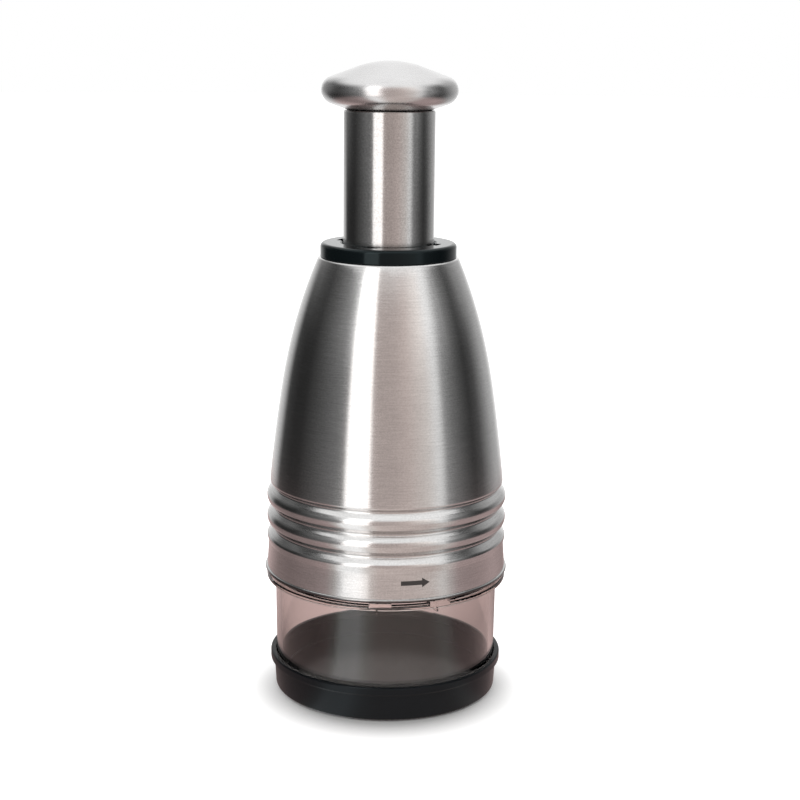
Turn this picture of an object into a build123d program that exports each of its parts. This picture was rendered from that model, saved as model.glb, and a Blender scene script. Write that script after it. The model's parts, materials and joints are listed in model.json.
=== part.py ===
from build123d import *
import os
from math import cos, radians, sin, sqrt, tan

# Plunger food chopper, in millimetres. The origin is at the centre of the underside, +Z is up and
# -Y is the front. Pressing the knob drives the zigzag blade down into the clear cup.

# ---------------------------------------------------------------- motion
stroke = 42.0                  # travel of the plunger
turn_per_stroke = 48.0         # degrees that the blade turns over one stroke
unlock_turn = 20.0             # degrees that the housing turns to come off the cup

# ---------------------------------------------------------------- clearances
running_gap = 0.06             # radial, between a shaft or tube and its bush
fit_gap = 0.05                 # radial, between pieces that are fastened to each other
free_gap = 0.3                 # between pieces that move past each other
end_gap = 0.2                  # between faces that turn on each other
cut_overrun = 1.0              # how far a cut runs past the face that it opens

# ---------------------------------------------------------------- base tray and non-slip ring
ring_proud = 0.4               # how far the non-slip ring stands below the tray
ring_inset = 2.0               # from the tray's foot
ring_width = 3.1
ring_height = 1.5
tray_foot_inset = 0.6          # from the wall's outside
tray_wall_offset = 1.0         # wall's outside, just under the lip, beyond the cup's foot
tray_ledge_width = 1.85        # under the edge of the cup
tray_floor = 3.6               # thickness of the floor at the wall
tray_recess_depth = 0.6        # hollow in the underside
tray_recess_inset = 2.2        # from the non-slip ring
tray_ledge_height = 11.4       # step that carries the edge of the cup
tray_lip_depth = 2.4           # from the ledge to the tray's top edge
tray_lip_width = 1.35          # how far the lip flares out beyond the wall
tray_lip_height = 3.6
tray_edge_rounding = 0.8

# ---------------------------------------------------------------- clear cup
cup_radius = 41.8              # outside, at the flange
cup_draft = 0.35               # how much narrower the foot is
cup_wall = 2.0
flange_margin = 0.05           # beyond the steel, above its rolled edge
flange_thickness = 1.7
neck_step = 0.1                # the neck that enters the housing is this much wider than the cup
neck_height = 10.9
pad_margin = 0.2               # pads, which the steel edge turns on, beyond that edge
pad_height = 1.2
pad_starts = (-7.5, 20.7)      # degrees from the front towards +X
pad_angle = 10.2
mark_offset = 3.2              # degrees from a pad's start to its moulded rib
mark_angle = 0.8
mark_proud = 0.25              # beyond the flange
mark_drop = 1.0                # below the flange
lug_count = 3                  # bayonet lugs, and pairs of pads
lug_start = 53.0
lug_angle = 14.0
lug_proud = 1.2
lug_height = 2.5
lug_rise = 6.0                 # from the top of the flange to the lug

# ---------------------------------------------------------------- spun steel housing
sheet = 0.6
edge_rise = 0.15               # from the lower edge up to the resting blade
edge_roll = 0.7                # radius of the roll along the lower edge
edge_roll_proud = 0.65         # beyond the band
band_gap = 0.2                 # between the bayonet ring and the top of the straight band
band_taper = 0.7               # how much wider the lower edge is than the band's top
band_height = 10.75
lower_bead_depth = 0.8         # corners before rounding, from the band's top
lower_bead_rise = 2.8
bead_depth = 2.1
groove_depth = 2.0
bead_half_pitch = 4.05
bead_count = 2
bead_rounding = 3.6
groove_rounding = 0.7
shoulder_rounding = 1.0
shoulder_rise = 1.5            # from the top groove to the corner below the bell
bell_foot_step = 1.3           # from the top groove out to the bell
bell_foot_rise = 0.9
bell_foot_lean = 5.4           # degrees from upright
bell_waist_inset = 4.52        # from the bell's foot
bell_waist_drop = 47.2         # from the top of the housing to the waist
bell_waist_lean = 9.0
bell_top_margin = 0.99         # beyond the collar
bell_top_lean = 23.2
top_roll = 1.2                 # radius of the roll at the top edge
top_hole_gap = 3.1             # around the collar's sleeve

# ---------------------------------------------------------------- guide collar and bush
collar_radius = 24.95
collar_height = 5.2
collar_rounding = 1.5
collar_mouth = 0.6             # radial gap around the tube at the top
collar_lip_height = 2.2
collar_sleeve_length = 13.2
collar_thread_wall = 1.0
bush_wall = 1.2
bush_flange = 1.0
notch_count = 4
notch_start = -20.0            # degrees from the front
notch_angle = 16.0
notch_depth = 1.2
notch_reach = 2.4

# ---------------------------------------------------------------- plunger
tube_radius = 16.6
tube_wall = 0.8
tube_lip_rounding = 0.6
knob_gap = 5.6                 # between collar and tube lip at full stroke
tube_lip_width = 2.0           # of the turned-in lip
core_height = 12.0
core_hub_height = 6.0
core_recess_gap = 0.5          # around the shaft clip
stop_ring_width = 1.9          # beyond the tube
stop_ring_height = 3.2
stop_ring_lip = 1.0
bumper_height = 1.8
bumper_inset = 0.2
rivet_radius = 0.8
stop_rivet_count = 3

# ---------------------------------------------------------------- knob
knob_radius = 24.6
knob_rim_rounding = 5.1
knob_dome_slope = 20.2         # degrees
knob_under_slope = 19.3
knob_dome_rounding = 33.6
knob_neck_inset = 1.2          # from the tube's outside
knob_lift = 0.1                # between the tube's lip and the cap's lower edge
knob_sheet = 0.8
knob_screw_radius = 1.5
knob_screw_head = 2.6
knob_screw_margin = 0.7        # between a screw's head and the core's recess
knob_screw_count = 3
knob_screw_grip = 6.0
screw_head_height = 1.8
screw_socket_radius = 1.1
screw_socket_depth = 0.9
screw_recess = 0.4

# ---------------------------------------------------------------- blade, carrier and shaft
blade_gap = 0.5                # between blade and tray at full stroke
blade_thickness = 0.8
blade_margin = 0.9             # from the outermost bends to the carrier's edge
blade_legs = 6
blade_end_half = 15.0          # half the length of the outermost legs
blade_bend_half = 2.4          # half the width of each bend
blade_bend_rounding = 2.0
blade_bevel_height = 1.4
blade_bevel_depth = 0.3
blade_seat_depth = 4.4
carrier_gap = 0.8              # around the carrier, inside the skirt's shoulder
carrier_thickness = 2.6
carrier_wall = 1.5             # of the zigzag wall, each side of the blade
carrier_rise = 0.6             # between carrier wall and stripper at full stroke
hub_radius = 8.0
hub_height = 5.0
blade_rivet_radius = 0.9
carrier_screw_radius = 1.5
carrier_screw_head = 2.2
carrier_screw_length = 5.0
spigot_flats = 7.0             # hexagon on the lower end of the shaft
bar_width = 8.4                # flat twisted bar
bar_thickness = 3.0
journal_radius = 4.0
shaft_collar_width = 1.4       # beyond the journal
shaft_collar_height = 2.8
washer_width = 3.0             # beyond the journal
washer_thickness = 0.8
clip_thickness = 0.8
clip_groove_depth = 0.8
clip_width = 1.4               # beyond the journal
clip_opening = 5.0
shaft_end = 1.6

# ---------------------------------------------------------------- stripper
stripper_thickness = 2.8
stripper_cover = 1.1           # of its edge, under the skirt's shoulder
stripper_recess = 0.5          # how far the resting blade stays above its underside
stripper_slot_gap = 0.6
stripper_rounding = 0.4
retainer_cover = 1.4           # of the stripper's edge
retainer_thickness = 1.2
retainer_bead = 0.35

# ---------------------------------------------------------------- inner frame
skirt_gap = 0.65               # inside the cup's neck
skirt_wall = 1.44
bayonet_margin = 0.4           # beyond the cup's lugs
bayonet_drop = 0.25            # bottom of the bayonet ring above the steel edge
neck_gap = 0.6
web_thickness = 2.0
liner_gap = 0.4                # between frame and steel
rib_thickness = 2.4
rib_gap = 1.7                  # around the carrier
rib_count = 4
rib_hole_margin = 3.5          # between a lightening hole and the rib's upright edges
rib_hole_rise = 16.0
deck_thickness = 2.5
deck_gap = 1.3                 # between carrier and deck at rest
barrel_wall = 2.0
barrel_gap = 0.5               # around the stop ring
shoulder_width = 3.0
shoulder_height = 2.5
turret_gap = 1.2               # inside the plunger's tube
turret_wall = 2.9
turret_floor = 1.4
turret_floor_hole = 6.0
hub_gap = 0.6
deck_rest_gap = 0.6            # between stop ring and deck at full stroke

# ---------------------------------------------------------------- indexing mechanism and spring
nut_height = 5.4
nut_tip_radius = 9.0
nut_root_radius = 8.0
nut_teeth = 8
pawl_ring_wall = 0.7
pawl_height = 5.0
pawl_count = 2
pawl_span = 38.0               # degrees from the root of a pawl to its tip
pawl_base_angle = 9.0
pawl_tip_width = 0.9
seat_thickness = 1.6
seat_rim_gap = 0.4             # inside the spring
seat_rim_wall = 0.8
seat_rim_height = 2.3
seat_hole_radius = 5.4
spring_gap = 2.6               # inside the plunger's tube
spring_wire = 1.6
spring_turns = 9

# ---------------------------------------------------------------- heights that follow
tray_underside = ring_proud
tray_floor_top = ring_proud + tray_floor
tray_height = tray_ledge_height + tray_lip_depth
cup_foot = tray_ledge_height
blade_edge = tray_floor_top + blade_gap + stroke
steel_edge = blade_edge - edge_rise
flange_top = steel_edge - pad_height - end_gap - fit_gap
flange_bottom = flange_top - flange_thickness
neck_top = flange_top + neck_height
stripper_bottom = blade_edge - stripper_recess
stripper_top = stripper_bottom + stripper_thickness
retainer_top = stripper_bottom - end_gap
retainer_bottom = retainer_top - retainer_thickness
skirt_shoulder = stripper_top + end_gap
web_bottom = neck_top + neck_gap
web_top = web_bottom + web_thickness
wall_bottom = stripper_top + carrier_rise + stroke
blade_top = wall_bottom + blade_seat_depth
carrier_top = blade_top + carrier_thickness
hub_top = carrier_top + hub_height
deck_bottom = carrier_top + deck_gap
deck_top = deck_bottom + deck_thickness
turret_floor_bottom = hub_top + hub_gap
turret_floor_top = turret_floor_bottom + turret_floor
nut_bottom = turret_floor_top + end_gap
nut_top = nut_bottom + nut_height
seat_bottom = nut_top + end_gap
seat_top = seat_bottom + seat_thickness
stop_ring_bottom = deck_top + deck_rest_gap + stroke
stop_ring_top = stop_ring_bottom + stop_ring_height
tube_bottom = stop_ring_bottom + stop_ring_lip
bumper_top = stop_ring_top + bumper_height
bush_bottom = bumper_top + end_gap
sleeve_bottom = bush_bottom + bush_flange
housing_top = sleeve_bottom + collar_sleeve_length
collar_top = housing_top + collar_height
bush_top = collar_top - collar_lip_height
tube_top = collar_top + stroke + knob_gap
core_top = tube_top - tube_wall
core_bottom = core_top - core_height
hub_bore_top = core_bottom + core_hub_height
washer_top = core_bottom - fit_gap
washer_bottom = washer_top - washer_thickness
clip_bottom = hub_bore_top + end_gap
clip_top = clip_bottom + clip_thickness
shaft_top = clip_top + shaft_end
bar_bottom = hub_top + hub_gap
bar_top = nut_top + stroke + end_gap

# ---------------------------------------------------------------- radii that follow
tube_bore = tube_radius - tube_wall
tube_lip_radius = tube_radius - tube_lip_width
core_radius = tube_bore - fit_gap
bush_bore = tube_radius + running_gap
bush_radius = bush_bore + bush_wall
sleeve_bore = bush_radius + fit_gap
sleeve_radius = sleeve_bore + collar_thread_wall
stop_ring_radius = tube_radius + stop_ring_width
barrel_bore = stop_ring_radius + barrel_gap
barrel_radius = barrel_bore + barrel_wall
turret_radius = tube_bore - turret_gap
turret_bore = turret_radius - turret_wall
pawl_ring_radius = turret_bore - end_gap
spring_radius = tube_bore - spring_gap - spring_wire / 2      # to the middle of the wire
seat_rim_radius = spring_radius - spring_wire / 2 - seat_rim_gap
shaft_collar_radius = journal_radius + shaft_collar_width
washer_radius = journal_radius + washer_width
clip_radius = journal_radius + clip_width
core_recess_radius = clip_radius + core_recess_gap
knob_screw_circle = core_recess_radius + knob_screw_margin + knob_screw_head
knob_neck_radius = tube_radius - knob_neck_inset

cup_foot_radius = cup_radius - cup_draft
tray_wall_radius = cup_foot_radius + tray_wall_offset
tray_inner_radius = cup_foot_radius - tray_ledge_width
tray_foot_radius = tray_wall_radius - tray_foot_inset
ring_radius = tray_foot_radius - ring_inset
tray_recess_radius = ring_radius - ring_width - tray_recess_inset
neck_radius = cup_radius + neck_step
neck_bore = neck_radius - cup_wall - fit_gap
bayonet_bore = neck_radius + free_gap + fit_gap
bayonet_radius = neck_radius + lug_proud + bayonet_margin
band_radius = bayonet_radius + band_gap + sheet
edge_radius = band_radius + band_taper
flange_radius = edge_radius + flange_margin
pad_radius = edge_radius + pad_margin
lower_bead_radius = band_radius + lower_bead_depth
bead_radius = band_radius + bead_depth
groove_radius = band_radius - groove_depth
bell_foot_radius = groove_radius + bell_foot_step
bell_waist_radius = bell_foot_radius - bell_waist_inset
bell_top_radius = collar_radius + bell_top_margin
top_hole_radius = sleeve_radius + top_hole_gap

skirt_radius = neck_bore - skirt_gap
skirt_bore = skirt_radius - skirt_wall
stripper_radius = skirt_bore - free_gap - running_gap
skirt_shoulder_radius = stripper_radius - stripper_cover
retainer_radius = stripper_radius - retainer_cover
carrier_radius = skirt_shoulder_radius - carrier_gap
rib_inner_radius = carrier_radius + rib_gap
blade_reach = carrier_radius - blade_margin
blade_span = sqrt(blade_reach ** 2 - blade_end_half ** 2) - blade_bend_half
blade_leg_pitch = 2 * blade_span / blade_legs


def turned(*corners):
    """Solid turned about Z. A corner is (radius, height) or (radius, height, rounding)."""
    points = [(corner[0], 0, corner[1]) for corner in corners]
    roundings = [corner[2] if len(corner) > 2 else 0 for corner in corners]
    return revolve(make_face(FilletPolyline(*points, radius=roundings, close=True)), Axis.Z)


def ring(inner, outer, bottom, top):
    """Plain ring, or a disc where inner is 0."""
    return turned((inner, bottom), (outer, bottom), (outer, top), (inner, top))


def from_front(angle):
    """Rotation that takes the +X direction to an angle from the front, towards +X."""
    return Rot(Z=angle - 90)


def sector(inner, outer, bottom, top, start, angle):
    """Part of a ring, from a start angle measured from the front."""
    section = make_face(Polyline((inner, 0, bottom), (outer, 0, bottom), (outer, 0, top),
                                 (inner, 0, top), close=True))
    return from_front(start) * revolve(section, Axis.Z, revolution_arc=angle)


def repeated(shape, count):
    """Copies of a shape, spaced evenly about Z."""
    return [Rot(Z=360 / count * index) * shape for index in range(count)]


def at(radius, height):
    return (radius, 0, height)


def polar(radius, angle):
    return (radius * cos(radians(angle)), radius * sin(radians(angle)))


def save(shape, name):
    """Write one sub-part, as a group where it holds several solids."""
    solids = shape.solids()
    export_step(solids[0] if len(solids) == 1 else Compound(solids), f"parts/{name}.step")


# ---------------------------------------------------------------- base
def base_tray():
    lip_bottom = tray_height - tray_lip_height
    lip_radius = tray_wall_radius + tray_lip_width
    lip_rounding = tray_lip_width / 2 - fit_gap
    cup_seat = cup_foot_radius + free_gap
    tray = turned(
        (0, tray_underside + tray_recess_depth),
        (tray_recess_radius, tray_underside + tray_recess_depth),
        (tray_recess_radius, tray_underside),
        (tray_foot_radius, tray_underside, tray_edge_rounding),
        (tray_wall_radius, lip_bottom, tray_edge_rounding / 2),
        (lip_radius, lip_bottom + tray_lip_width / 2, lip_rounding / 2),
        (lip_radius, tray_height, lip_rounding),
        (cup_seat, tray_height, tray_edge_rounding / 2),
        (cup_seat, tray_ledge_height),
        (tray_inner_radius, tray_ledge_height, tray_edge_rounding / 2),
        (tray_inner_radius, tray_floor_top, tray_edge_rounding),
        (0, tray_floor_top))
    return tray - ring(ring_radius - ring_width - fit_gap, ring_radius + fit_gap,
                       tray_underside, ring_height)


def non_slip_ring():
    return ring(ring_radius - ring_width, ring_radius, 0, ring_height)


# ---------------------------------------------------------------- cup
def clear_cup():
    rounding = cup_wall / 4
    cup = turned(
        (cup_foot_radius - cup_wall, cup_foot, rounding),
        (cup_foot_radius, cup_foot, rounding),
        (cup_radius, flange_bottom, rounding),
        (flange_radius, flange_bottom, flange_thickness / 3),
        (flange_radius, flange_top, flange_thickness / 3),
        (neck_radius, flange_top),
        (neck_radius, neck_top, rounding),
        (neck_bore, neck_top, rounding))
    root = neck_radius - cup_wall / 2
    pads = []
    for start in pad_starts:
        pads.append(sector(root, pad_radius, flange_bottom + flange_thickness / 2,
                           flange_top + pad_height, start, pad_angle))
        pads.append(sector(root, flange_radius + mark_proud, flange_bottom - mark_drop,
                           flange_top + pad_height, start + mark_offset, mark_angle))
    lug_bottom = flange_top + lug_rise
    pads.append(sector(root, neck_radius + lug_proud, lug_bottom, lug_bottom + lug_height,
                       lug_start, lug_angle))
    for pad in pads:
        cup += repeated(pad, lug_count)
    return cup


# ---------------------------------------------------------------- housing shell
def groove_height(index):
    """Height of a groove between beads, counted from the lowest."""
    lowest = steel_edge + band_height + lower_bead_rise + lower_bead_radius - groove_radius
    return lowest + 2 * bead_half_pitch * index


def bell_curve(inset):
    """Outline of the bell from its foot to its top roll, moved inwards by inset."""
    foot_height = groove_height(bead_count) + shoulder_rise + bell_foot_rise
    roll_drop = top_roll * (1 - sin(radians(bell_top_lean)))
    stations = ((bell_foot_radius, foot_height, bell_foot_lean),
                (bell_waist_radius, housing_top - bell_waist_drop, bell_waist_lean),
                (bell_top_radius, housing_top - roll_drop, bell_top_lean))
    points = []
    directions = []
    for radius, height, lean in stations:
        across, along = cos(radians(lean)), sin(radians(lean))
        points.append(at(radius - inset * across, height - inset * along))
        directions.append((-along, 0, across))
    return Spline(*points, tangents=directions)


def bead_line():
    """Outline of the straight band, the lower bead and the round beads, up to the bell."""
    corners = [at(edge_radius, steel_edge + edge_roll), at(band_radius, steel_edge + band_height),
               at(lower_bead_radius, steel_edge + band_height + lower_bead_rise)]
    roundings = [shoulder_rounding, 2 * shoulder_rounding]
    for index in range(bead_count):
        groove = groove_height(index)
        corners += [at(groove_radius, groove), at(bead_radius, groove + bead_half_pitch)]
        roundings += [groove_rounding, bead_rounding]
    shoulder_radius = bell_foot_radius + bell_foot_rise * tan(radians(bell_foot_lean))
    groove = groove_height(bead_count)
    corners += [at(groove_radius, groove), at(shoulder_radius, groove + shoulder_rise),
                at(bell_foot_radius, groove + shoulder_rise + bell_foot_rise)]
    roundings += [groove_rounding, shoulder_rounding]
    return Wire(FilletPolyline(*corners, radius=roundings).edges())


def upper_line(inset):
    """Bell, rolled top edge and roof around the tube, moved inwards by inset."""
    bell = bell_curve(inset)
    roll_end = at(bell_top_radius - top_roll * cos(radians(bell_top_lean)), housing_top - inset)
    roll = TangentArc(bell @ 1, roll_end, tangent=bell % 1)
    roof = Line(roll_end, at(top_hole_radius, housing_top - inset))
    return [bell, roll, roof]


def housing_shell():
    outer = bead_line()
    inner = outer.offset_2d(sheet, side=Side.LEFT, closed=False)
    inner_ends = sorted([inner @ 0, inner @ 1], key=lambda point: point.Z)
    lower_edge = Line(at(edge_radius, steel_edge + edge_roll), inner_ends[0])
    hole_edge = Line(at(top_hole_radius, housing_top), at(top_hole_radius, housing_top - sheet))
    outline = Wire([*outer.edges(), *upper_line(0), hole_edge, *upper_line(sheet),
                    *inner.edges(), lower_edge])
    roll_radius = edge_radius + edge_roll_proud - edge_roll
    roll = Plane.XZ * Pos(roll_radius, steel_edge + edge_roll) * Circle(edge_roll)
    return revolve(Face(outline), Axis.Z) + revolve(roll, Axis.Z)


# ---------------------------------------------------------------- collar and bush
def guide_collar():
    mouth = tube_radius + collar_mouth
    collar = turned(
        (sleeve_bore, sleeve_bottom),
        (sleeve_radius, sleeve_bottom),
        (sleeve_radius, housing_top),
        (collar_radius, housing_top, collar_rounding / 4),
        (collar_radius, collar_top, collar_rounding),
        (mouth + collar_mouth, collar_top),
        (mouth, collar_top - collar_mouth),
        (mouth, bush_top),
        (sleeve_bore, bush_top))
    notch = sector(tube_radius, mouth + notch_reach, collar_top - notch_depth,
                   collar_top + notch_depth, notch_start - notch_angle / 2, notch_angle)
    return collar - repeated(notch, notch_count)


def guide_bush():
    return turned(
        (bush_bore, bush_bottom, bush_flange / 4),
        (sleeve_radius, bush_bottom),
        (sleeve_radius, sleeve_bottom),
        (bush_radius, sleeve_bottom),
        (bush_radius, bush_top),
        (bush_bore, bush_top, bush_flange / 4))


# ---------------------------------------------------------------- inner frame
def liner_space():
    """Room inside the steel shell, above the web."""
    bell = bell_curve(sheet + liner_gap)
    side = groove_radius - sheet - liner_gap
    foot, top = bell @ 0, bell @ 1
    rest = Polyline(top, at(0, top.Z), at(0, web_bottom), at(side, web_bottom),
                    at(side, foot.Z), foot)
    return revolve(make_face([bell, *rest.edges()]), Axis.Z)


def bayonet_slots():
    """Channels for the lugs: an upright entry and a level run to the locked place."""
    run_bottom = flange_top + lug_rise - free_gap
    run_top = flange_top + lug_rise + lug_height + free_gap
    play = 1.0
    entry_start = lug_start - unlock_turn - play
    run = sector(neck_radius, bayonet_radius + cut_overrun, run_bottom, run_top,
                 entry_start, lug_angle + unlock_turn + 2 * play)
    entry = sector(neck_radius, bayonet_radius + cut_overrun, steel_edge - cut_overrun, run_top,
                   entry_start, lug_angle + 2 * play)
    return repeated(run, lug_count) + repeated(entry, lug_count)


def lower_frame():
    """Skirt around the stripper, web over the cup's neck, and bayonet ring."""
    groove_height = retainer_bottom + retainer_thickness / 2
    groove_half = retainer_bead + fit_gap
    lower = turned(
        (skirt_bore, retainer_bottom),
        (skirt_radius, retainer_bottom),
        (skirt_radius, web_bottom),
        (bayonet_bore, web_bottom),
        (bayonet_bore, steel_edge + bayonet_drop),
        (bayonet_radius, steel_edge + bayonet_drop),
        (bayonet_radius, web_bottom - web_thickness),
        (groove_radius - sheet - liner_gap, web_top),
        (skirt_shoulder_radius, web_top),
        (skirt_shoulder_radius, skirt_shoulder),
        (skirt_bore, skirt_shoulder))
    snap_groove = turned(
        (skirt_bore - fit_gap, groove_height - groove_half),
        (skirt_bore + retainer_bead, groove_height),
        (skirt_bore - fit_gap, groove_height + groove_half))
    return lower - snap_groove - bayonet_slots()


def frame_ribs():
    """Upright ribs that follow the inside of the bell, with a lightening hole each."""
    height = housing_top - web_bottom
    middle = web_bottom + height / 2
    plate = Pos(edge_radius / 2, 0, middle) * Box(edge_radius, rib_thickness, height)
    outer_edge = bell_waist_radius - sheet - liner_gap
    hole_radius = (outer_edge - barrel_radius) / 2 - rib_hole_margin
    hole = Pos((barrel_radius + outer_edge) / 2, 0, deck_top + rib_hole_rise) * Rot(X=90) * Cylinder(
        hole_radius, 2 * rib_thickness)
    ribs = Part() + repeated(plate - hole, rib_count)
    blade_space = ring(0, rib_inner_radius, web_bottom, deck_bottom)
    plunger_space = ring(0, barrel_bore + barrel_wall / 2, deck_bottom, housing_top)
    return (ribs & liner_space()) - blade_space - plunger_space


def inner_frame():
    shoulder_top = housing_top - sheet
    deck = ring(0, edge_radius, deck_bottom, deck_top) & liner_space()
    barrel = ring(barrel_bore, barrel_radius, deck_top - fit_gap, shoulder_top)
    shoulder = turned(
        (barrel_bore, shoulder_top - shoulder_height - shoulder_width),
        (barrel_radius, shoulder_top - shoulder_height - shoulder_width),
        (barrel_radius + shoulder_width, shoulder_top - shoulder_height),
        (barrel_radius + shoulder_width, shoulder_top),
        (barrel_bore, shoulder_top))
    turret = ring(0, turret_radius, deck_top - fit_gap, seat_bottom)
    pocket = ring(0, turret_bore, turret_floor_top, seat_bottom)
    floor_hole = ring(0, turret_floor_hole, deck_bottom, seat_bottom)
    hub_room = ring(0, hub_radius + hub_gap, deck_bottom, turret_floor_bottom)
    frame = lower_frame() + frame_ribs() + deck + barrel + shoulder + turret
    return frame - pocket - floor_hole - hub_room


# ---------------------------------------------------------------- indexing mechanism
def twist_between(bottom, top):
    """Degrees that the bar turns between two heights, against the blade's turn."""
    return -turn_per_stroke / stroke * (top - bottom)


def twisted_bar(grow, bottom, top):
    """Flat bar twisted about Z, larger by grow on each side."""
    start = twist_between(bar_bottom, bottom)
    section = Plane.XY.offset(bottom) * Rot(Z=start) * Rectangle(
        bar_width + 2 * grow, bar_thickness + 2 * grow)
    return Solid.extrude_linear_with_rotation(
        section.face(), (0, 0, bottom), (0, 0, top - bottom), twist_between(bottom, top))


def index_nut():
    """Ratchet nut with the twisted slot that the bar slides through."""
    pitch = 360 / nut_teeth
    corners = []
    for tooth in range(nut_teeth):
        corners.append(polar(nut_tip_radius, pitch * tooth))
        corners.append(polar(nut_root_radius, pitch * tooth))
    outline = make_face(Polyline(*corners, close=True))
    body = Pos(0, 0, nut_bottom) * extrude(outline, nut_height)
    return body - twisted_bar(running_gap, nut_bottom - end_gap, nut_top + end_gap)


def pawl_ring():
    """Spring fingers that stop the nut from turning anticlockwise."""
    bottom = nut_bottom + (nut_height - pawl_height) / 2
    inner = pawl_ring_radius - pawl_ring_wall
    root = inner + pawl_ring_wall / 2
    tip = nut_root_radius + end_gap
    finger = make_face(Polyline(
        polar(tip, 1), polar(tip + pawl_tip_width, 1),
        polar(root, pawl_span - pawl_base_angle), polar(root, pawl_span), close=True))
    body = ring(inner, pawl_ring_radius, bottom, bottom + pawl_height)
    finger_solid = Pos(0, 0, bottom) * extrude(finger, pawl_height)
    return body + repeated(finger_solid, pawl_count)


def spring_seat():
    rim_top = seat_top + seat_rim_height
    return turned(
        (seat_hole_radius, seat_bottom),
        (turret_radius, seat_bottom),
        (turret_radius, seat_top),
        (seat_rim_radius, seat_top),
        (seat_rim_radius, rim_top, seat_rim_wall / 3),
        (seat_rim_radius - seat_rim_wall, rim_top, seat_rim_wall / 3),
        (seat_rim_radius - seat_rim_wall, seat_top),
        (seat_hole_radius, seat_top))


def return_spring():
    """Compression spring with its ends ground flat."""
    length = core_bottom - seat_top
    coil_height = length + spring_wire
    pitch = coil_height / spring_turns
    path = Helix(pitch, coil_height, spring_radius, center=(0, 0, seat_top - spring_wire / 2))
    section = Plane(path @ 0, z_dir=path % 0) * Circle(spring_wire / 2)
    coil = sweep(section, path=path)
    room = ring(0, tube_bore, seat_top, core_bottom)
    return coil & room


# ---------------------------------------------------------------- stripper
def zigzag_line():
    """Middle line of the folded blade, seen from above."""
    half = blade_legs // 2
    corners = []
    for index in range(-half, half + 1):
        x = index * blade_leg_pitch
        side = -1 if index % 2 == 0 else 1
        y = side * sqrt(blade_reach ** 2 - (abs(x) + blade_bend_half) ** 2)
        if abs(index) == half:
            corners.append((x, y))
        else:
            corners += [(x - blade_bend_half, y), (x + blade_bend_half, y)]
    return corners


def zigzag_band(half_width):
    """Flat band along the blade's line."""
    line = FilletPolyline(*zigzag_line(), radius=blade_bend_rounding)
    return Face(Wire(line.edges()).offset_2d(half_width))


def stripper_plate():
    disc = turned(
        (0, stripper_bottom), (stripper_radius, stripper_bottom, stripper_rounding),
        (stripper_radius, stripper_top, stripper_rounding), (0, stripper_top))
    slot = extrude(zigzag_band(blade_thickness / 2 + stripper_slot_gap),
                   stripper_thickness + 2 * cut_overrun)
    return disc - Pos(0, 0, stripper_bottom - cut_overrun) * slot


def stripper_retainer():
    bead_height = retainer_bottom + retainer_thickness / 2
    outer = skirt_bore - fit_gap
    return turned(
        (retainer_radius, retainer_bottom),
        (outer, retainer_bottom),
        (outer, bead_height - retainer_bead),
        (outer + retainer_bead, bead_height),
        (outer, bead_height + retainer_bead),
        (outer, retainer_top),
        (retainer_radius, retainer_top))


# ---------------------------------------------------------------- blade and carrier
def legs():
    """End points of each straight leg."""
    corners = zigzag_line()
    return [(Vector(*corners[index]), Vector(*corners[index + 1]))
            for index in range(0, len(corners) - 1, 2)]


def rivet_set(radius, length):
    """Level pins across the legs, at the height of the carrier's wall."""
    height = wall_bottom + blade_seat_depth / 2
    pins = []
    for start, end in legs()[1:-1]:
        middle = (start + end) / 2
        across = (end - start).cross(Vector(0, 0, 1))
        plane = Plane(origin=(middle.X, middle.Y, height), z_dir=across)
        pins.append(plane * Cylinder(radius, length))
    return pins


def zigzag_blade():
    blade = Pos(0, 0, blade_edge) * extrude(zigzag_band(blade_thickness / 2), blade_top - blade_edge)
    cutting_edges = blade.faces().sort_by(Axis.Z)[0].edges()
    blade = chamfer(cutting_edges, blade_bevel_height, blade_bevel_depth)
    return blade - rivet_set(blade_rivet_radius + fit_gap, 4 * blade_thickness)


def blade_carrier():
    half = blade_thickness / 2 + carrier_wall
    body = turned(
        (0, blade_top), (carrier_radius, blade_top), (carrier_radius, carrier_top),
        (hub_radius, carrier_top), (hub_radius, hub_top), (0, hub_top))
    wall_height = blade_seat_depth + carrier_thickness / 2
    wall = Pos(0, 0, wall_bottom) * extrude(zigzag_band(half), wall_height)
    carrier = body + (wall & ring(0, carrier_radius, wall_bottom, carrier_top))
    seat = zigzag_band(blade_thickness / 2 + fit_gap)
    carrier -= Pos(0, 0, wall_bottom) * extrude(seat, blade_seat_depth)
    spigot = RegularPolygon(spigot_flats / 2 + fit_gap, 6, major_radius=False)
    carrier -= Pos(0, 0, carrier_top) * extrude(spigot, hub_height)
    carrier -= ring(0, carrier_screw_radius + fit_gap, wall_bottom, hub_top)
    return carrier - rivet_set(blade_rivet_radius + fit_gap, 4 * half)


def blade_rivets():
    length = blade_thickness + 2 * carrier_wall
    return Compound([pin.solid() for pin in rivet_set(blade_rivet_radius, length)])


def carrier_screw():
    head_bottom = blade_top - screw_head_height
    shank = ring(0, carrier_screw_radius, blade_top - fit_gap, carrier_top + carrier_screw_length)
    head = turned(
        (0, head_bottom), (carrier_screw_head, head_bottom, screw_head_height / 3),
        (carrier_screw_head, blade_top), (0, blade_top))
    socket = Pos(0, 0, head_bottom) * extrude(
        RegularPolygon(screw_socket_radius, 6), screw_socket_depth)
    return head + shank - socket


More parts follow.
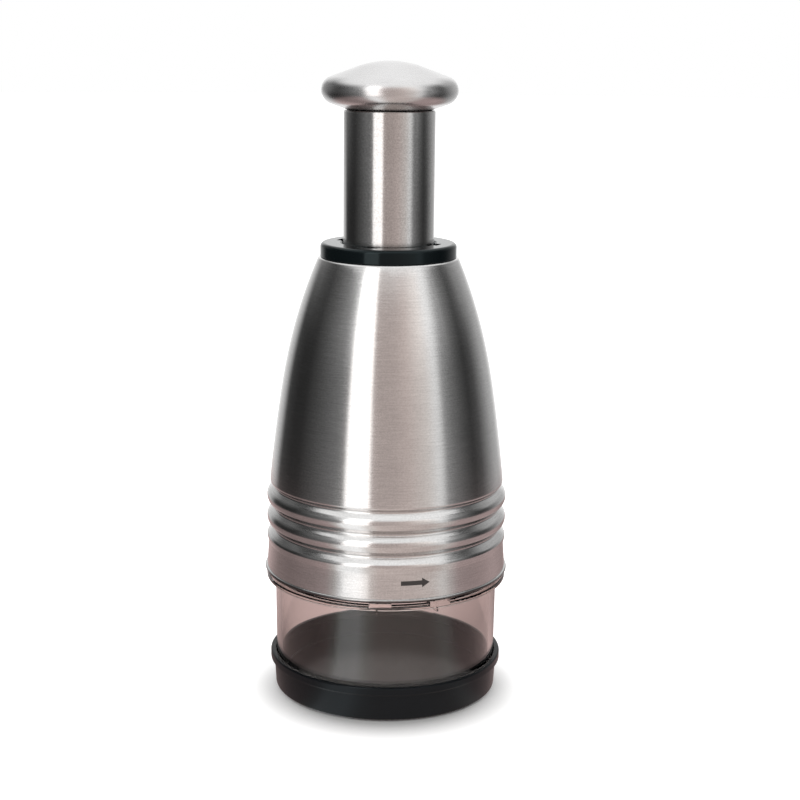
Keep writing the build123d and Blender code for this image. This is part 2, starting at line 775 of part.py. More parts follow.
# ---------------------------------------------------------------- shaft
def blade_shaft():
    spigot = Pos(0, 0, carrier_top) * extrude(
        RegularPolygon(spigot_flats / 2, 6, major_radius=False), bar_bottom - carrier_top)
    bar = twisted_bar(0, bar_bottom, bar_top)
    journal = ring(0, journal_radius, bar_top, shaft_top)
    collar = ring(0, shaft_collar_radius, washer_bottom - shaft_collar_height, washer_bottom)
    groove = ring(journal_radius - clip_groove_depth, clip_radius, clip_bottom, clip_top)
    screw_hole = ring(0, carrier_screw_radius + fit_gap, carrier_top,
                      carrier_top + carrier_screw_length + fit_gap)
    return spigot + bar + journal + collar - groove - screw_hole


def thrust_washer():
    return ring(journal_radius + fit_gap, washer_radius, washer_bottom, washer_top)


def shaft_clip():
    clip = ring(journal_radius - clip_groove_depth + fit_gap, clip_radius, clip_bottom, clip_top)
    opening = Pos(clip_radius / 2, 0, (clip_bottom + clip_top) / 2) * Box(
        clip_radius, clip_opening, 2 * clip_thickness)
    return clip - opening


# ---------------------------------------------------------------- plunger
def plunger_tube():
    tube = turned(
        (tube_bore, tube_bottom),
        (tube_radius, tube_bottom),
        (tube_radius, tube_top, tube_lip_rounding),
        (tube_lip_radius, tube_top),
        (tube_lip_radius, core_top),
        (tube_bore, core_top))
    return tube - stop_rivet_pins(rivet_radius + fit_gap, tube_wall)


def plunger_core():
    core = turned(
        (journal_radius + running_gap, core_bottom),
        (core_radius, core_bottom),
        (core_radius, core_top),
        (core_recess_radius, core_top),
        (core_recess_radius, hub_bore_top),
        (journal_radius + running_gap, hub_bore_top))
    shank = knob_screw_radius + fit_gap
    pocket_top = core_bottom + screw_recess + screw_head_height
    holes = (Pos(knob_screw_circle, 0, 0) * ring(0, shank, core_bottom, core_top)
             + Pos(knob_screw_circle, 0, 0) * ring(0, knob_screw_head + fit_gap,
                                                   core_bottom, pocket_top))
    return core - repeated(holes, knob_screw_count)


def stop_rivet_pins(radius, overrun=0):
    """Radial pins through the stop ring and the tube, longer by overrun at each end."""
    height = (tube_bottom + stop_ring_top) / 2
    length = stop_ring_radius - tube_bore + 2 * overrun
    middle = (stop_ring_radius + tube_bore) / 2
    pin = Pos(middle, 0, height) * Rot(Y=90) * Cylinder(radius, length)
    return repeated(pin, stop_rivet_count)


def stop_ring():
    body = turned(
        (tube_bore - end_gap, stop_ring_bottom),
        (stop_ring_radius, stop_ring_bottom),
        (stop_ring_radius, stop_ring_top),
        (tube_radius + fit_gap, stop_ring_top),
        (tube_radius + fit_gap, tube_bottom),
        (tube_bore - end_gap, tube_bottom))
    return body - stop_rivet_pins(rivet_radius + fit_gap, tube_wall)


def stop_rivets():
    return Compound([pin.solid() for pin in stop_rivet_pins(rivet_radius)])


def stop_bumper():
    return ring(tube_radius + fit_gap, stop_ring_radius - bumper_inset, stop_ring_top, bumper_top)


# ---------------------------------------------------------------- knob
def knob_outline():
    """Outer outline of the knob, from the top of its dome to its lower edge."""
    dome = radians(knob_dome_slope)
    under = radians(knob_under_slope)
    half = (dome + under) / 2
    corner_radius = knob_radius - knob_rim_rounding + knob_rim_rounding / sin(half)
    edge_height = tube_top + knob_lift
    corner_height = edge_height + (corner_radius - knob_neck_radius) * tan(under)
    peak = corner_height + corner_radius * tan(dome)
    top = peak - knob_dome_rounding * (1 / cos(dome) - 1)
    crown_radius = (peak - top) / tan(dome)
    line = FilletPolyline(
        at(0, top), at(crown_radius, top), at(corner_radius, corner_height),
        at(knob_neck_radius, edge_height), radius=[knob_dome_rounding - fit_gap, knob_rim_rounding])
    return Wire(line.edges())


def knob_cap():
    return revolve(Face(knob_outline().offset_2d(knob_sheet, side=Side.RIGHT)), Axis.Z)


def knob_insert():
    inner = knob_outline().offset_2d(knob_sheet + fit_gap, side=Side.RIGHT, closed=False)
    ends = sorted([inner @ 0, inner @ 1], key=lambda point: point.Z)
    neck = tube_lip_radius - end_gap
    rest = Polyline(ends[0], at(neck, ends[0].Z), at(neck, core_top), at(0, core_top), ends[1])
    body = revolve(make_face([*inner.edges(), *rest.edges()]), Axis.Z)
    hole = Pos(knob_screw_circle, 0, 0) * ring(
        0, knob_screw_radius + fit_gap, core_top, core_top + knob_screw_grip + fit_gap)
    return body - repeated(hole, knob_screw_count)


def knob_screws():
    head_bottom = core_bottom + screw_recess
    head_top = head_bottom + screw_head_height
    head = turned(
        (0, head_bottom), (knob_screw_head, head_bottom, screw_head_height / 3),
        (knob_screw_head, head_top), (0, head_top))
    shank = ring(0, knob_screw_radius, head_top - fit_gap, core_top + knob_screw_grip)
    socket = Pos(0, 0, head_bottom) * extrude(
        RegularPolygon(screw_socket_radius, 6), screw_socket_depth)
    screw = Pos(knob_screw_circle, 0, 0) * (head + shank - socket)
    return Compound([copy.solid() for copy in repeated(screw, knob_screw_count)])


os.makedirs("parts", exist_ok=True)
for make in (base_tray, non_slip_ring, clear_cup, housing_shell, inner_frame, guide_collar,
             guide_bush, index_nut, pawl_ring, spring_seat, return_spring, stripper_plate,
             stripper_retainer, zigzag_blade, blade_carrier, blade_rivets, carrier_screw,
             blade_shaft, thrust_washer, shaft_clip, plunger_tube, plunger_core, stop_ring,
             stop_rivets, stop_bumper, knob_cap, knob_insert, knob_screws):
    save(make(), make.__name__)
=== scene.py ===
"""Plunger food chopper in a plain studio. Lengths are in metres, angles in degrees unless said."""
import json
import math

import bpy
import numpy as np
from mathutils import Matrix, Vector


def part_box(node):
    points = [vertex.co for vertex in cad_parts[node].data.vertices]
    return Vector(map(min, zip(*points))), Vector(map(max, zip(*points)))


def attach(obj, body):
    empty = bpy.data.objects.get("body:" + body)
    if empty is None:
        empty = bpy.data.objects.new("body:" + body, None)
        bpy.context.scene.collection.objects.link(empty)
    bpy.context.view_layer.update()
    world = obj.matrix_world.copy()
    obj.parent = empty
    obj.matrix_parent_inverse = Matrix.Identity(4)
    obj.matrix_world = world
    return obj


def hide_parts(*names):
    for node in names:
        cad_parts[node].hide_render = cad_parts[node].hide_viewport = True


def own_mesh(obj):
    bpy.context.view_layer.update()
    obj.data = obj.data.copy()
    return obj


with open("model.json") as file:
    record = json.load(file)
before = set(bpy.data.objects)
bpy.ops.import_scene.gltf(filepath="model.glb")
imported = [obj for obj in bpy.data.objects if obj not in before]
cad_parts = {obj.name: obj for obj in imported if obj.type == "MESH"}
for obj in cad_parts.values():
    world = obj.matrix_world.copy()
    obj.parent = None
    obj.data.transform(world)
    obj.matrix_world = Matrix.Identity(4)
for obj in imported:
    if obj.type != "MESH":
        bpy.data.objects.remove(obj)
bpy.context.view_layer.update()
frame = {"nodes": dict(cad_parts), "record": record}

# ---------------------------------------------------------------- camera, as in the photograph
camera_distance = 0.6049       # in front of the axis
camera_height = 0.2448
camera_pitch = 12.535          # down
camera_roll = 0.5
camera_lens_mm = 74.8
camera_sensor_mm = 36
camera_shift = 0.0160          # puts the axis left of the picture's middle

# ---------------------------------------------------------------- floor
floor_radius = 6.0
floor_points = 64
floor_colour = (0.85, 0.84575, 0.8415)
floor_roughness = 0.9
fibre_scale = 900.0
fibre_tone = 0.99              # the darkest fibres' share of the paper's tone
floor_lift = 0.95              # glow added where the camera or glass sees the floor, outside the painted shadow round the foot
painted_shadow_centre = -0.008         # on Y: the painted shadow's middle lies in front of the axis
painted_shadow_near = 0.036            # distances from that centre between which the glow grows from none to full, so the floor is painted darker near the foot
painted_shadow_far = 0.058
worktop_near = 0.28            # distances from the axis between which metal loses the worktop
worktop_far = 0.44

# ---------------------------------------------------------------- what metal sees around it
neutral = (1.0, 1.0, 1.0)
faintly_warm = (1.0, 0.93, 0.89)
warm = (1.0, 0.85, 0.80)
wood = (1.0, 0.77, 0.75)

# Each stop is an angle from the camera's side towards +X, with the tone and the tint there: dark
# flags at both sides, a warm grey room behind the camera and a pale backdrop behind the object.
studio_stops = (
    (-180, 1.25, neutral), (-165, 1.05, neutral), (-152, 0.75, neutral), (-143, 0.60, neutral),
    (-131, 0.06, neutral), (-112, 0.028, neutral), (-97, 0.029, neutral), (-81, 0.075, neutral),
    (-67, 0.132, neutral), (-53, 0.20, neutral), (-47, 0.25, neutral), (-18, 0.56, warm),
    (8, 0.60, warm), (22, 0.71, warm), (42, 0.85, faintly_warm), (53, 1.02, neutral),
    (57, 0.87, neutral), (62, 0.35, neutral), (72, 0.20, neutral), (85, 0.096, neutral),
    (97, 0.041, neutral), (110, 0.09, neutral), (122, 0.27, neutral), (135, 0.48, neutral),
    (150, 0.60, neutral), (165, 1.05, neutral), (180, 1.25, neutral))

# The same higher up, where the lights at the left front and the right reach further round.
upper_stops = (
    (-180, 1.25, neutral), (-165, 1.00, neutral), (-152, 0.70, neutral), (-143, 0.50, neutral),
    (-131, 0.15, neutral), (-114, 0.095, neutral), (-97, 0.038, neutral), (-81, 0.13, neutral),
    (-67, 0.225, neutral), (-53, 0.36, neutral), (-46, 0.70, neutral), (-42, 1.20, neutral),
    (-30, 1.20, neutral), (-18, 0.58, warm), (8, 0.62, warm), (22, 0.80, warm),
    (40, 1.20, faintly_warm), (53, 1.30, neutral), (60, 1.05, neutral), (67, 0.62, neutral),
    (75, 0.34, neutral), (87, 0.13, neutral), (97, 0.064, neutral), (107, 0.20, neutral),
    (116, 0.50, neutral), (130, 0.58, neutral), (144, 0.66, neutral), (165, 1.05, neutral),
    (180, 1.25, neutral))
upper_start = 0.12             # Z of the direction between which the upper stops take over
upper_end = 0.38
overhead_start = 0.45          # and between which the bright ceiling does
overhead_end = 0.80
overhead_tone = 1.25

# The worktop that the object stands on, by the side of the object.
worktop_stops = (
    (-180, 0.70, wood), (-143, 0.58, wood), (-116, 0.30, wood), (-97, 0.27, wood),
    (-81, 0.32, wood), (-67, 0.36, wood), (-53, 0.46, wood), (-45, 0.66, faintly_warm),
    (-39, 1.28, neutral), (-24, 1.40, neutral), (-15, 0.92, faintly_warm), (-6, 0.76, warm),
    (40, 0.68, warm), (53, 0.76, faintly_warm), (67, 0.50, wood), (81, 0.46, wood),
    (97, 0.48, wood), (116, 0.52, wood), (143, 0.36, wood), (180, 0.70, wood))

# Cards close to the object at both sides.
card_stops = (
    (-150, 0.45, neutral), (-131, 0.28, neutral), (-118, 0.20, neutral), (-104, 0.10, neutral),
    (-91, 0.06, neutral), (-75, 0.12, neutral), (-61, 0.22, neutral), (-52, 0.34, neutral),
    (68, 0.50, neutral), (75, 0.26, neutral), (91, 0.085, neutral), (100, 0.15, neutral),
    (110, 0.30, neutral), (122, 0.42, neutral), (136, 0.58, neutral), (150, 0.62, neutral))
card_sides = ((-150, -54), (68, 150))
card_distance = 0.24
card_foot = 0.160              # heights between which a card grows opaque
card_full = 0.230
card_top = 0.315
card_step = 4                  # degrees between the points of its curve

# ---------------------------------------------------------------- light on what doesn't shine
world_level = 0.50
lamp_colour = (1.0, 0.985, 0.975)

# ---------------------------------------------------------------- texture of the finishes
brush_along = 150.0            # noise cells per metre along the brushed lines, and across them
brush_across = 2600.0
across_lines = 0.25            # turn that stretches reflections across the lines
grain_scale = 1700.0
metal_cloud = 55.0
metal_cloud_share = 0.2
tool_mark_relief = 0.0000015
plastic_cloud = 70.0
noise_low = 0.3                # range that nearly all noise lies in
noise_high = 0.7
brushed_wear = (0.90, 1.12)    # a finish's roughness at its smoothest and its roughest places
turned_wear = (0.80, 1.25)
moulded_wear = (0.88, 1.12)

haze_scale = 60.0
haze_roughness = (0.02, 0.055)
ripple_scale = 140.0
ripple_relief = 0.000006
smoke_colour = (0.80, 0.66, 0.56)
smoke_density = 50.0           # per metre

upright_rise = 0.3             # Z of a normal up to which the tray's faces shine as upright ones
flat_rise = 0.8                # and from which they shine as flat ones
upright_shine = 0.20
flat_shine = 0.07

# ---------------------------------------------------------------- steel bell and return spring
roll_shaded = 0.0468           # below this height the rolled edge is painted fully dark, a painted shade for the gap under it
roll_lit = 0.0479
# colour of the painted shade on the rolled edge
roll_painted_shade = (0.022, 0.016, 0.015)
same_place = 0.000005          # points of one ring lie this close in radius and height
crease = 12                    # between normals on the two sides of an edge
turned_limit = 0.5             # sideways share of a normal that isn't on a turned face

# ---------------------------------------------------------------- arrow on the housing's band
arrow_start = 7.0              # from the front towards +X
arrow_length = 0.0108
arrow_height = 0.0535          # of its middle line above the floor
arrow_shaft = 0.0016
arrow_head_length = 0.0029
arrow_head_width = 0.0035
arrow_tip = 0.01               # of the head's width
arrow_proud = 0.00003
arrow_film = 0.00005           # thickness of the print
arrow_step = 0.0006            # between the points that follow the band's curve


# ---------------------------------------------------------------- node helpers
def opaque(colour, tone=1.0):
    return (*(tone * part for part in colour), 1.0)


def add_node(tree, kind, inputs=None, **settings):
    """New shader node. An input is a value, or a socket to join it to."""
    node = tree.nodes.new(kind)
    for name, value in settings.items():
        setattr(node, name, value)
    for key, value in (inputs or {}).items():
        if isinstance(value, bpy.types.NodeSocket):
            tree.links.new(value, node.inputs[key])
        else:
            node.inputs[key].default_value = value
    return node


def calculate(tree, operation, first, second=0.0):
    return add_node(tree, "ShaderNodeMath", {0: first, 1: second}, operation=operation).outputs[0]


def weigh(tree, *parts):
    """Sum of values, each times its share."""
    total = 0.0
    for value, share in parts:
        total = add_node(tree, "ShaderNodeMath", {0: value, 1: share, 2: total},
                         operation="MULTIPLY_ADD").outputs[0]
    return total


def between(tree, value, low, high, start=0.0, end=1.0, **settings):
    """Goes from start to end while a value goes from low to high."""
    node = add_node(tree, "ShaderNodeMapRange", {
        "Value": value, "From Min": low, "From Max": high, "To Min": start, "To Max": end},
        **settings)
    return node.outputs["Result"]


def spread(tree, value, start, end):
    """Noise brought to a range."""
    return between(tree, value, noise_low, noise_high, start, end)


def noise(tree, point, scale, detail=2.0):
    node = add_node(tree, "ShaderNodeTexNoise",
                    {"Vector": point, "Scale": scale, "Detail": detail})
    return node.outputs["Fac"]


def object_point(tree):
    return add_node(tree, "ShaderNodeTexCoord").outputs["Object"]


def height_of(tree, vector):
    return add_node(tree, "ShaderNodeSeparateXYZ", {"Vector": vector}).outputs["Z"]


def away_from(tree, centre, near, far):
    """0 within the near distance from a centre, 1 beyond the far one."""
    offset = add_node(tree, "ShaderNodeVectorMath", {0: object_point(tree), 1: centre},
                      operation="DISTANCE")
    return between(tree, offset.outputs["Value"], near, far)


def mix_colours(tree, share, first, second):
    node = add_node(tree, "ShaderNodeMix", {"Factor": share, "A": first, "B": second},
                    data_type="RGBA")
    return node.outputs["Result"]


def mix_upwards(tree, height, low, high, lower, upper):
    """Colour that goes smoothly from one to another between two heights."""
    share = between(tree, height, low, high, interpolation_type="SMOOTHSTEP")
    return mix_colours(tree, share, lower, upper)


def mix_shaders(tree, share, first, second):
    return add_node(tree, "ShaderNodeMixShader", {0: share, 1: first, 2: second}).outputs[0]


def glow(tree, colour, strength=1.0):
    node = add_node(tree, "ShaderNodeEmission", {"Color": colour, "Strength": strength})
    return node.outputs[0]


def transparent(tree):
    return add_node(tree, "ShaderNodeBsdfTransparent").outputs[0]


def seen_by(tree):
    """Whether the camera or glass sees a place, and whether a shiny surface does."""
    path = add_node(tree, "ShaderNodeLightPath").outputs
    direct = calculate(tree, "MAXIMUM", path["Is Camera Ray"], path["Is Transmission Ray"])
    return direct, path["Is Glossy Ray"]


def tones_around(tree, vector, stops):
    """Colour by the angle of a place or direction from the camera's side towards +X."""
    x, y, _ = add_node(tree, "ShaderNodeSeparateXYZ", {"Vector": vector}).outputs
    turn = calculate(tree, "ARCTAN2", x, calculate(tree, "MULTIPLY", y, -1.0))
    place = calculate(tree, "ADD", calculate(tree, "DIVIDE", turn, 2 * math.pi), 0.5)
    ramp = add_node(tree, "ShaderNodeValToRGB", {"Fac": place})
    set_stops(ramp.color_ramp, stops)
    return ramp.outputs["Color"]


def set_stops(ramp, stops):
    while len(ramp.elements) > 1:
        ramp.elements.remove(ramp.elements[0])
    for index, (angle, tone, colour) in enumerate(stops):
        place = angle / 360 + 0.5
        element = ramp.elements[0] if index == 0 else ramp.elements.new(place)
        element.position = place
        element.color = opaque(colour, tone)


# ---------------------------------------------------------------- finishes
def new_finish(name, **sockets):
    """Material with one Principled shader. Sockets are named with _ for a space."""
    material = bpy.data.materials.new(name)
    material.use_nodes = True
    tree = material.node_tree
    shader = tree.nodes["Principled BSDF"]
    for key, value in sockets.items():
        if isinstance(value, tuple):
            value = opaque(value)
        shader.inputs[key.replace("_", " ")].default_value = value
    return material, tree, shader


def tint(tree, share, dark, light):
    """Colour between two shades."""
    return mix_colours(tree, share, opaque(dark), opaque(light))


def uneven(tree, value, roughness, wear):
    """Roughness that varies with noise around a finish's own."""
    return spread(tree, value, roughness * wear[0], roughness * wear[1])


def relief(tree, height, depth):
    node = add_node(tree, "ShaderNodeBump",
                    {"Height": height, "Distance": depth, "Strength": 1.0})
    return node.outputs["Normal"]


def brush_point(tree):
    """Coordinates that change slowly around the axis and fast along a turned piece's outline."""
    x, y, z = add_node(tree, "ShaderNodeSeparateXYZ", {"Vector": object_point(tree)}).outputs
    radius = calculate(tree, "SQRT", calculate(
        tree, "ADD", calculate(tree, "MULTIPLY", x, x), calculate(tree, "MULTIPLY", y, y)))
    outline = calculate(tree, "SUBTRACT", z, radius)
    joined = add_node(tree, "ShaderNodeCombineXYZ", {
        "X": calculate(tree, "MULTIPLY", x, brush_along),
        "Y": calculate(tree, "MULTIPLY", y, brush_along),
        "Z": calculate(tree, "MULTIPLY", outline, brush_across)})
    return joined.outputs["Vector"]


def brushed_metal(name, dark, light, roughness, stretch, depth, line_share=0.4):
    """Steel brushed around the axis: fine lines that spread reflections up and down."""
    material, tree, shader = new_finish(name, Metallic=1.0, Anisotropic=stretch,
                                        Anisotropic_Rotation=across_lines)
    point = object_point(tree)
    lines = noise(tree, brush_point(tree), scale=1.0, detail=3.0)
    grain = noise(tree, point, grain_scale)
    cloud = noise(tree, point, metal_cloud, detail=4.0)
    tone = weigh(tree, (lines, line_share), (grain, 1 - metal_cloud_share - line_share),
                 (cloud, metal_cloud_share))
    around = add_node(tree, "ShaderNodeTangent", direction_type="RADIAL", axis="Z")
    tree.links.new(around.outputs["Tangent"], shader.inputs["Tangent"])
    tree.links.new(tint(tree, spread(tree, tone, 0.0, 1.0), dark, light),
                   shader.inputs["Base Color"])
    tree.links.new(uneven(tree, tone, roughness, brushed_wear), shader.inputs["Roughness"])
    tree.links.new(relief(tree, lines, depth), shader.inputs["Normal"])
    return material


def turned_metal(name, dark, light, roughness, grain=900.0):
    """Small steel parts: even, with faint tool marks."""
    material, tree, shader = new_finish(name, Metallic=1.0)
    marks = noise(tree, object_point(tree), grain, detail=3.0)
    tree.links.new(tint(tree, marks, dark, light), shader.inputs["Base Color"])
    tree.links.new(uneven(tree, marks, roughness, turned_wear), shader.inputs["Roughness"])
    tree.links.new(relief(tree, marks, tool_mark_relief), shader.inputs["Normal"])
    return material


def moulded_plastic(name, dark, light, roughness, grain=3600.0, depth=0.000006, **sockets):
    """Plastic with the fine texture of its mould and faint cloudiness."""
    material, tree, shader = new_finish(name, **sockets)
    point = object_point(tree)
    texture = noise(tree, point, grain)
    cloud = noise(tree, point, plastic_cloud, detail=4.0)
    tree.links.new(tint(tree, cloud, dark, light), shader.inputs["Base Color"])
    tree.links.new(uneven(tree, cloud, roughness, moulded_wear), shader.inputs["Roughness"])
    tree.links.new(relief(tree, texture, depth), shader.inputs["Normal"])
    return material


def clear_plastic(name):
    """Clear cup with a smoky, warm tint that deepens where the light passes along its edges."""
    material, tree, shader = new_finish(name, Base_Color=(0.97, 0.95, 0.94), IOR=1.5,
                                        Transmission_Weight=1.0, Specular_IOR_Level=0.35)
    point = object_point(tree)
    haze = noise(tree, point, haze_scale, detail=5.0)
    ripples = noise(tree, point, ripple_scale, detail=1.0)
    tree.links.new(spread(tree, haze, *haze_roughness), shader.inputs["Roughness"])
    tree.links.new(relief(tree, ripples, ripple_relief), shader.inputs["Normal"])
    smoke = add_node(tree, "ShaderNodeVolumeAbsorption",
                     {"Color": opaque(smoke_colour), "Density": smoke_density})
    tree.links.new(smoke.outputs[0], tree.nodes["Material Output"].inputs["Volume"])
    return material


def paint_shade_below(material, low, high, shade):
    """Paints shade into a finish's colour, from one height down to another."""
    tree = material.node_tree
    colour = tree.nodes["Principled BSDF"].inputs["Base Color"]
    share = between(tree, height_of(tree, object_point(tree)), low, high)
    mixed = mix_colours(tree, share, opaque(shade), colour.links[0].from_socket)
    tree.links.new(mixed, colour)


def dull_upwards(material, upright, flat):
    """Gives the faces of a finish that look up another specular level than its upright ones."""
    tree = material.node_tree
    rise = height_of(tree, add_node(tree, "ShaderNodeTexCoord").outputs["Normal"])
    tree.links.new(between(tree, rise, upright_rise, flat_rise, upright, flat),
                   tree.nodes["Principled BSDF"].inputs["Specular IOR Level"])


finishes = {
    "tray_black": moulded_plastic(
        "satin_black_plastic", (0.005, 0.006, 0.007), (0.008, 0.009, 0.011), 0.24,
        Specular_Tint=(0.85, 0.95, 1.0)),
    "foot_rubber": moulded_plastic(
        "foot_rubber", (0.030, 0.030, 0.032), (0.045, 0.045, 0.047), 0.8),
    "clear_plastic": clear_plastic("clear_smoky_plastic"),
    "brushed_steel": brushed_metal(
        "brushed_steel", (0.52, 0.515, 0.51), (0.72, 0.715, 0.71), 0.18, stretch=0.62,
        depth=0.000006),
    "polished_steel": brushed_metal(
        "satin_steel", (0.44, 0.435, 0.43), (0.64, 0.635, 0.63), 0.18, stretch=0.5,
        depth=0.000001, line_share=0.15),
    "collar_black": moulded_plastic(
        "gloss_black_plastic", (0.003, 0.005, 0.006), (0.005, 0.008, 0.009), 0.12,
        depth=0.000004, Specular_IOR_Level=0.22, Specular_Tint=(0.75, 0.95, 1.0)),
    "frame_plastic": moulded_plastic(
        "dark_frame_plastic", (0.020, 0.016, 0.016), (0.032, 0.027, 0.027), 0.5),
    "bearing_plastic": moulded_plastic(
        "natural_bearing_plastic", (0.76, 0.75, 0.71), (0.84, 0.83, 0.80), 0.42,
        Subsurface_Weight=0.1, Subsurface_Scale=0.001),
    "stripper_plastic": moulded_plastic(
        "stripper_plastic", (0.045, 0.046, 0.05), (0.06, 0.061, 0.065), 0.42),
    "carrier_plastic": moulded_plastic(
        "carrier_plastic", (0.045, 0.046, 0.05), (0.06, 0.061, 0.065), 0.45),
    "spring_steel": turned_metal(
        "spring_wire", (0.42, 0.42, 0.43), (0.56, 0.56, 0.57), 0.28),
    "blade_steel": turned_metal(
        "blade_steel", (0.58, 0.58, 0.59), (0.70, 0.70, 0.71), 0.24, grain=1500.0),
    "fastener_steel": turned_metal(
        "fastener_steel", (0.50, 0.50, 0.51), (0.62, 0.62, 0.63), 0.32),
    "bumper_rubber": moulded_plastic(
        "bumper_rubber", (0.020, 0.020, 0.021), (0.032, 0.032, 0.034), 0.75),
}
spun_cap = brushed_metal(
    "spun_steel_cap", (0.56, 0.555, 0.555), (0.70, 0.695, 0.695), 0.27, stretch=0.3,
    depth=0.000005)
arrow_print = moulded_plastic(
    "arrow_print", (0.030, 0.026, 0.025), (0.050, 0.044, 0.042), 0.5)


def dress_nodes():
    """Gives each CAD node the finish of its material slot, and the knob's spun cap its own."""
    for part in frame["record"]["subparts"]:
        node = frame["nodes"][part["node"]]
        node.data.materials.clear()
        node.data.materials.append(finishes[part["material_slot"]])
    frame["nodes"]["knob_cap"].data.materials[0] = spun_cap


# ---------------------------------------------------------------- pieces
def new_piece(name, points, faces, material):
    mesh = bpy.data.meshes.new(name)
    mesh.from_pydata(points, [], faces)
    mesh.materials.append(material)
    piece = bpy.data.objects.new(name, mesh)
    bpy.context.collection.objects.link(piece)
    return piece


def strip_faces(count):
    """Faces of a strip whose points come in pairs."""
    return [(2 * step, 2 * step + 2, 2 * step + 3, 2 * step + 1) for step in range(count)]


def copy_node(node_name, name, body):
    """A CAD node once more, as a piece that stands for it."""
    node = frame["nodes"][node_name]
    piece = bpy.data.objects.new(name, node.data.copy())
    bpy.context.collection.objects.link(piece)
    piece.matrix_world = node.matrix_world
    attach(piece, body)
    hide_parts(node_name)
    return piece


def even_normals(mesh):
    """Evens the shading of a turned mesh out around the axis, where long facets make it uneven."""
    count = len(mesh.loops)
    normals = np.empty(count * 3)
    mesh.corner_normals.foreach_get("vector", normals)
    normals = normals.reshape(-1, 3)
    vertex = np.empty(count, int)
    mesh.loops.foreach_get("vertex_index", vertex)
    places = np.empty(len(mesh.vertices) * 3)
    mesh.vertices.foreach_get("co", places)
    x, y, z = places.reshape(-1, 3)[vertex].T
    radius = np.maximum(np.hypot(x, y), same_place)
    outwards = (normals[:, 0] * x + normals[:, 1] * y) / radius
    around = (normals[:, 1] * x - normals[:, 0] * y) / radius
    lean = np.arctan2(normals[:, 2], outwards)
    turned = np.abs(around) < turned_limit

    # A group is the corners of one ring whose normals lean the same way, apart from creases.
    ring = np.stack([np.round(radius / same_place), np.round(z / same_place), ~turned])
    order = np.lexsort((lean, *ring))
    new_ring = np.any(np.diff(ring[:, order]) != 0, axis=0)
    new = new_ring | (np.diff(lean[order]) > math.radians(crease))
    group = np.empty(count, int)
    group[order] = np.concatenate([[0], np.cumsum(new)])
    size = np.bincount(group)
    outwards = (np.bincount(group, np.cos(lean)) / size)[group]
    upwards = (np.bincount(group, np.sin(lean)) / size)[group]
    even = np.stack([outwards * x / radius, outwards * y / radius, upwards], axis=1)
    even /= np.hypot(outwards, upwards)[:, None]
    normals[turned] = even[turned]
    mesh.normals_split_custom_set(normals)


def add_bell():
    """The spun steel shell with shading that is even all the way around."""
    even_normals(copy_node("housing_shell", "steel_bell", "housing").data)


def add_spring():
    """The return spring, copied as a piece with a mesh of its own. The real spring shortens while
    the knob goes down; nothing here makes it shorten.
    """
    spring = copy_node("return_spring", "spring_coil", "housing")
    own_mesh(spring)


def on_housing(distance, height):
    """Point just proud of the housing, at a distance around it from the arrow's tail."""
    shell = frame["nodes"]["housing_shell"]
    low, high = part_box("housing_shell")
    turn = math.radians(arrow_start) + distance / high.x
    outwards = Vector((math.sin(turn), -math.cos(turn), 0))
    start = outwards * 2 * high.x + Vector((0, 0, height))
    _, place, _, _ = shell.ray_cast(start, -outwards)
    return place + outwards * arrow_proud


def add_arrow():
    """Printed arrow that shows which way the housing turns to lock."""
    neck = arrow_length - arrow_head_length
    shaft_steps = round(neck / arrow_step)
    head_steps = round(arrow_head_length / arrow_step)
    stations = [(neck * step / shaft_steps, arrow_shaft) for step in range(shaft_steps + 1)]
    for step in range(head_steps + 1):
        left = 1 - step / head_steps
        stations.append((arrow_length - arrow_head_length * left,
                         arrow_head_width * max(left, arrow_tip)))
    points = [on_housing(distance, arrow_height + side * width / 2)
              for distance, width in stations for side in (-1, 1)]
    arrow = new_piece("direction_arrow", points, strip_faces(len(stations) - 1), arrow_print)
    film = arrow.modifiers.new("film", "SOLIDIFY")
    film.thickness = arrow_film
    film.offset = -1
    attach(arrow, "housing")


# ---------------------------------------------------------------- studio
def add_floor():
    """White paper with a painted contact shadow round the foot, which metal sees as a worktop of
    its own tones.
    """
    material, tree, shader = new_finish("floor_paper", Roughness=floor_roughness,
                                        Specular_IOR_Level=0.1)
    fibres = noise(tree, object_point(tree), fibre_scale, detail=3.0)
    dark = tuple(fibre_tone * part for part in floor_colour)
    tree.links.new(tint(tree, fibres, dark, floor_colour), shader.inputs["Base Color"])
    direct, reflected = seen_by(tree)
    # painted shadow: the glow is left out near the foot, which darkens the floor there on top of
    # the real shadow
    lift = away_from(tree, (0, painted_shadow_centre, 0), painted_shadow_near, painted_shadow_far)
    lifted = calculate(tree, "MULTIPLY", direct, calculate(tree, "MULTIPLY", lift, floor_lift))
    paper = add_node(tree, "ShaderNodeAddShader",
                     {0: shader.outputs[0], 1: glow(tree, opaque(neutral), lifted)})
    worktop = mix_shaders(tree, away_from(tree, (0, 0, 0), worktop_near, worktop_far),
                          glow(tree, tones_around(tree, object_point(tree), worktop_stops)),
                          transparent(tree))
    tree.links.new(mix_shaders(tree, reflected, paper.outputs[0], worktop),
                   tree.nodes["Material Output"].inputs["Surface"])

    turns = [2 * math.pi * step / floor_points for step in range(floor_points)]
    rim = [(floor_radius * math.cos(turn), floor_radius * math.sin(turn), 0) for turn in turns]
    floor = new_piece("floor", rim, [tuple(range(floor_points))], material)


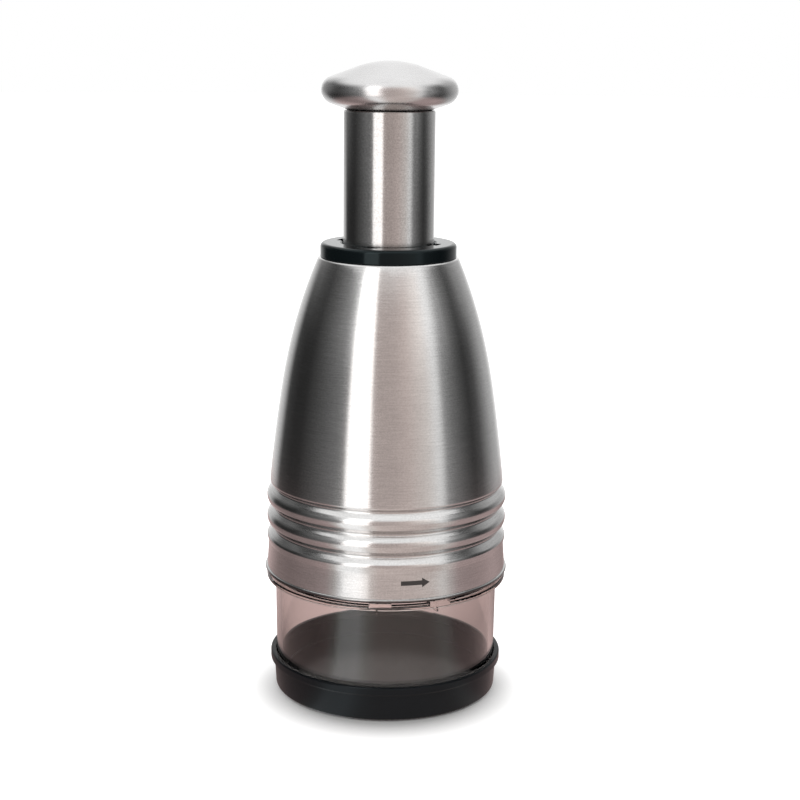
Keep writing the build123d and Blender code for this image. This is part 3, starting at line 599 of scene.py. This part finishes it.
def add_cards():
    """Curved cards that darken the upper sides of the beads and leave the knob bright."""
    material, tree, _ = new_finish("side_card")
    point = object_point(tree)
    share = between(tree, height_of(tree, point), card_foot, card_full)
    card_glow = glow(tree, tones_around(tree, point, card_stops))
    tree.links.new(mix_shaders(tree, share, transparent(tree), card_glow),
                   tree.nodes["Material Output"].inputs["Surface"])
    for index, (start, end) in enumerate(card_sides):
        count = round((end - start) / card_step)
        points = []
        for step in range(count + 1):
            turn = math.radians(start + (end - start) * step / count)
            x, y = card_distance * math.sin(turn), -card_distance * math.cos(turn)
            points += [(x, y, card_foot), (x, y, card_top)]
        card = new_piece(f"side_card_{index}", points, strip_faces(count), material)
        card.visible_camera = card.visible_diffuse = card.visible_transmission = False
        card.visible_shadow = card.visible_volume_scatter = False


def add_world():
    """White where the camera or glass sees it, and for metal a studio with dark flags."""
    world = bpy.data.worlds.new("studio")
    bpy.context.scene.world = world
    world.use_nodes = True
    tree = world.node_tree
    direct, reflected = seen_by(tree)
    plain = tree.nodes["Background"]
    plain.inputs["Color"].default_value = opaque(neutral)
    tree.links.new(between(tree, direct, 0.0, 1.0, world_level, 1.0), plain.inputs["Strength"])

    direction = add_node(tree, "ShaderNodeTexCoord").outputs["Generated"]
    rise = height_of(tree, direction)
    sides = mix_upwards(tree, rise, upper_start, upper_end,
                        tones_around(tree, direction, studio_stops),
                        tones_around(tree, direction, upper_stops))
    around = mix_upwards(tree, rise, overhead_start, overhead_end, sides,
                         opaque(neutral, overhead_tone))
    studio = add_node(tree, "ShaderNodeBackground", {"Color": around, "Strength": 1.0})
    tree.links.new(mix_shaders(tree, reflected, plain.outputs[0], studio.outputs[0]),
                   tree.nodes["World Output"].inputs["Surface"])


def add_softbox(name, azimuth, distance, height, aimed_at, width, length, tone, shines):
    """Area light aimed at a height of the axis, of a stated brightness as metal reflects it."""
    light = bpy.data.lights.new(name, "AREA")
    light.shape = "RECTANGLE"
    light.size = width
    light.size_y = length
    light.energy = tone * math.pi * width * length
    light.color = lamp_colour
    lamp = bpy.data.objects.new(name, light)
    bpy.context.collection.objects.link(lamp)
    turn = math.radians(azimuth)
    lamp.location = (distance * math.sin(turn), -distance * math.cos(turn), height)
    aim = Vector((0, 0, aimed_at)) - lamp.location
    lamp.rotation_euler = aim.to_track_quat("-Z", "Y").to_euler()
    lamp.visible_camera = False
    lamp.visible_glossy = shines


def add_camera():
    data = bpy.data.cameras.new("camera")
    data.lens = camera_lens_mm
    data.sensor_width = camera_sensor_mm
    data.shift_x = camera_shift
    camera = bpy.data.objects.new("camera", data)
    bpy.context.collection.objects.link(camera)
    camera.location = (0, -camera_distance, camera_height)
    camera.rotation_euler = (math.radians(90 - camera_pitch), 0, 0)
    camera.rotation_euler.rotate_axis("Z", math.radians(camera_roll))
    bpy.context.scene.camera = camera


# painted shade along the steel bell's rolled lower edge
paint_shade_below(finishes["brushed_steel"], roll_shaded, roll_lit, roll_painted_shade)
dull_upwards(finishes["tray_black"], upright_shine, flat_shine)
dress_nodes()
add_arrow()
add_bell()
add_spring()
add_floor()
add_cards()
add_world()
add_softbox("strip_left", azimuth=-28, distance=1.1, height=0.45, aimed_at=0.45,
            width=0.48, length=1.7, tone=1.6, shines=True)
add_softbox("softbox_right", azimuth=40, distance=1.3, height=0.5, aimed_at=0.4,
            width=0.7, length=1.3, tone=0.5, shines=False)
add_softbox("softbox_top", azimuth=180, distance=0.1, height=1.4, aimed_at=0.0,
            width=1.2, length=1.2, tone=0.9, shines=False)
add_camera()
bpy.context.scene.view_settings.view_transform = "Standard"
